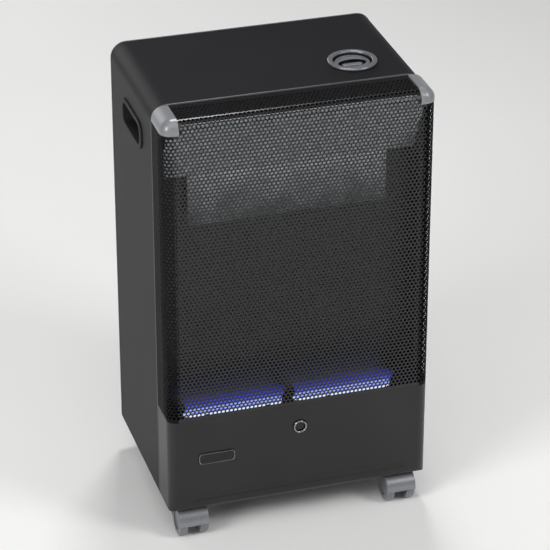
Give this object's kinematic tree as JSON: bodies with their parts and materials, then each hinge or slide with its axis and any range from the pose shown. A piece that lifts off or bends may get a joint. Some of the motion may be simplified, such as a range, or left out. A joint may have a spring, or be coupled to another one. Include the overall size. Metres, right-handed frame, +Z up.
{
  "type": "portable gas cabinet heater",
  "caption": "Free-standing gas room heater: an arched steel cabinet on castors with a perforated guard over the burners, a control dial on top, side hand-holds and a pull-off rear cover.",
  "frame": {"origin": "on the floor under the middle of the heater's overall width and depth", "axes": "+X to the right as seen from the front, +Y towards the back so that the front faces -Y, +Z up"},
  "size_m": [0.4356, 0.3554, 0.745],
  "materials": {
    "case_paint": "dark grey fine-textured powder coat",
    "front_paint": "dark grey fine-textured powder coat, a little darker than the case",
    "tray_paint": "black satin paint",
    "cap_plastic": "grey heat-resistant plastic",
    "firebox_steel": "aluminised steel sheet, dulled by heat",
    "shelf_steel": "aluminised steel sheet",
    "inner_steel": "galvanised steel sheet",
    "bright_steel": "bright reflector steel",
    "burner_steel": "stainless steel, tinted by heat",
    "tube_steel": "aluminised steel tube",
    "pipe_steel": "plated steel tube",
    "pilot_alloy": "soft aluminium tube",
    "brass_fitting": "turned brass",
    "probe_copper": "copper-coloured probe sheath",
    "ceramic": "glazed white ceramic",
    "valve_alloy": "die-cast aluminium",
    "spindle_steel": "bright steel rod",
    "igniter_plastic": "black plastic",
    "dish_plastic": "black heat-resistant plastic",
    "ring_plastic": "silver-grey plastic",
    "knob_plastic": "black heat-resistant plastic",
    "bezel_chrome": "polished plating",
    "port_glass": "clear heat-resistant glass",
    "badge_alloy": "plain brushed plate",
    "grip_plastic": "black plastic",
    "hood_plastic": "grey moulded plastic",
    "wheel_plastic": "grey hard plastic tread",
    "screw_steel": "zinc-plated screw"
  },
  "bodies": {
    "cabinet": {"case_shell": "case_paint", "front_panel": "front_paint", "guard_mesh": "front_paint", "guard_sides": "front_paint", "guard_folds": "front_paint", "base_tray": "tray_paint", "guard_cap_left": "cap_plastic", "guard_cap_right": "cap_plastic", "firebox_back": "firebox_steel", "firebox_side_left": "firebox_steel", "firebox_side_right": "firebox_steel", "burner_shelf": "shelf_steel", "partition_shield": "inner_steel", "heat_deflector": "bright_steel", "burner_left": "burner_steel", "burner_right": "burner_steel", "mixing_tube_left": "tube_steel", "mixing_tube_right": "tube_steel", "gas_manifold": "pipe_steel", "supply_pipe": "pipe_steel", "pilot_pipe": "pilot_alloy", "injectors": "brass_fitting", "hose_nozzle": "brass_fitting", "pilot_burner": "brass_fitting", "pilot_bracket": "shelf_steel", "thermocouple": "probe_copper", "spark_electrode": "ceramic", "valve_bracket": "inner_steel", "valve_body": "valve_alloy", "piezo_igniter": "igniter_plastic", "control_dish": "dish_plastic", "dial_ring": "ring_plastic", "port_bezel": "bezel_chrome", "port_lens": "port_glass", "badge_plate": "badge_alloy", "grip_trim_left": "grip_plastic", "grip_trim_right": "grip_plastic", "rear_upper_panel": "case_paint", "castor_sockets": "hood_plastic", "fixing_screws": "screw_steel"},
    "valve_plunger": {"valve_plunger": "brass_fitting"},
    "control_knob": {"control_knob": "knob_plastic", "valve_spindle": "spindle_steel"},
    "rear_cover": {"rear_cover": "case_paint"},
    "castor_front_left": {"castor_hood_front_left": "hood_plastic", "castor_axle_front_left": "spindle_steel"},
    "castor_wheel_front_left_left": {"castor_wheel_front_left_left": "wheel_plastic"},
    "castor_wheel_front_left_right": {"castor_wheel_front_left_right": "wheel_plastic"},
    "castor_front_right": {"castor_hood_front_right": "hood_plastic", "castor_axle_front_right": "spindle_steel"},
    "castor_wheel_front_right_left": {"castor_wheel_front_right_left": "wheel_plastic"},
    "castor_wheel_front_right_right": {"castor_wheel_front_right_right": "wheel_plastic"},
    "castor_rear_left": {"castor_hood_rear_left": "hood_plastic", "castor_axle_rear_left": "spindle_steel"},
    "castor_wheel_rear_left_left": {"castor_wheel_rear_left_left": "wheel_plastic"},
    "castor_wheel_rear_left_right": {"castor_wheel_rear_left_right": "wheel_plastic"},
    "castor_rear_right": {"castor_hood_rear_right": "hood_plastic", "castor_axle_rear_right": "spindle_steel"},
    "castor_wheel_rear_right_left": {"castor_wheel_rear_right_left": "wheel_plastic"},
    "castor_wheel_rear_right_right": {"castor_wheel_rear_right_right": "wheel_plastic"}
  },
  "joints": [
    {"name": "knob_push", "type": "slide", "parent": "cabinet", "child": "valve_plunger", "axis": [0, 0, -1], "range_m": [0, 0.004], "stiffness_N_per_m": 600, "springref_m": -0.004},
    {"name": "knob_turn", "type": "hinge", "parent": "valve_plunger", "child": "control_knob", "pos_m": [0.1245, -0.04065, 0.74], "axis": [0, 0, 1], "range_deg": [0, 240]},
    {"name": "cover_pull", "type": "slide", "parent": "cabinet", "child": "rear_cover", "axis": [0, 1, 0], "range_m": [0, 0.4]},
    {"name": "castor_swivel_front_left", "type": "hinge", "parent": "cabinet", "child": "castor_front_left", "pos_m": [-0.175, -0.12765, 0.055], "axis": [0, 0, 1], "continuous": true},
    {"name": "wheel_spin_front_left_left", "type": "hinge", "parent": "castor_front_left", "child": "castor_wheel_front_left_left", "pos_m": [-0.192, -0.14765, 0.025], "axis": [1, 0, 0], "continuous": true},
    {"name": "wheel_spin_front_left_right", "type": "hinge", "parent": "castor_front_left", "child": "castor_wheel_front_left_right", "pos_m": [-0.158, -0.14765, 0.025], "axis": [1, 0, 0], "continuous": true},
    {"name": "castor_swivel_front_right", "type": "hinge", "parent": "cabinet", "child": "castor_front_right", "pos_m": [0.175, -0.12765, 0.055], "axis": [0, 0, 1], "continuous": true},
    {"name": "wheel_spin_front_right_left", "type": "hinge", "parent": "castor_front_right", "child": "castor_wheel_front_right_left", "pos_m": [0.158, -0.14765, 0.025], "axis": [1, 0, 0], "continuous": true},
    {"name": "wheel_spin_front_right_right", "type": "hinge", "parent": "castor_front_right", "child": "castor_wheel_front_right_right", "pos_m": [0.192, -0.14765, 0.025], "axis": [1, 0, 0], "continuous": true},
    {"name": "castor_swivel_rear_left", "type": "hinge", "parent": "cabinet", "child": "castor_rear_left", "pos_m": [-0.166, 0.09335, 0.055], "axis": [0, 0, 1], "continuous": true},
    {"name": "wheel_spin_rear_left_left", "type": "hinge", "parent": "castor_rear_left", "child": "castor_wheel_rear_left_left", "pos_m": [-0.183, 0.07335, 0.025], "axis": [1, 0, 0], "continuous": true},
    {"name": "wheel_spin_rear_left_right", "type": "hinge", "parent": "castor_rear_left", "child": "castor_wheel_rear_left_right", "pos_m": [-0.149, 0.07335, 0.025], "axis": [1, 0, 0], "continuous": true},
    {"name": "castor_swivel_rear_right", "type": "hinge", "parent": "cabinet", "child": "castor_rear_right", "pos_m": [0.166, 0.09335, 0.055], "axis": [0, 0, 1], "continuous": true},
    {"name": "wheel_spin_rear_right_left", "type": "hinge", "parent": "castor_rear_right", "child": "castor_wheel_rear_right_left", "pos_m": [0.149, 0.07335, 0.025], "axis": [1, 0, 0], "continuous": true},
    {"name": "wheel_spin_rear_right_right", "type": "hinge", "parent": "castor_rear_right", "child": "castor_wheel_rear_right_right", "pos_m": [0.183, 0.07335, 0.025], "axis": [1, 0, 0], "continuous": true}
  ]
}
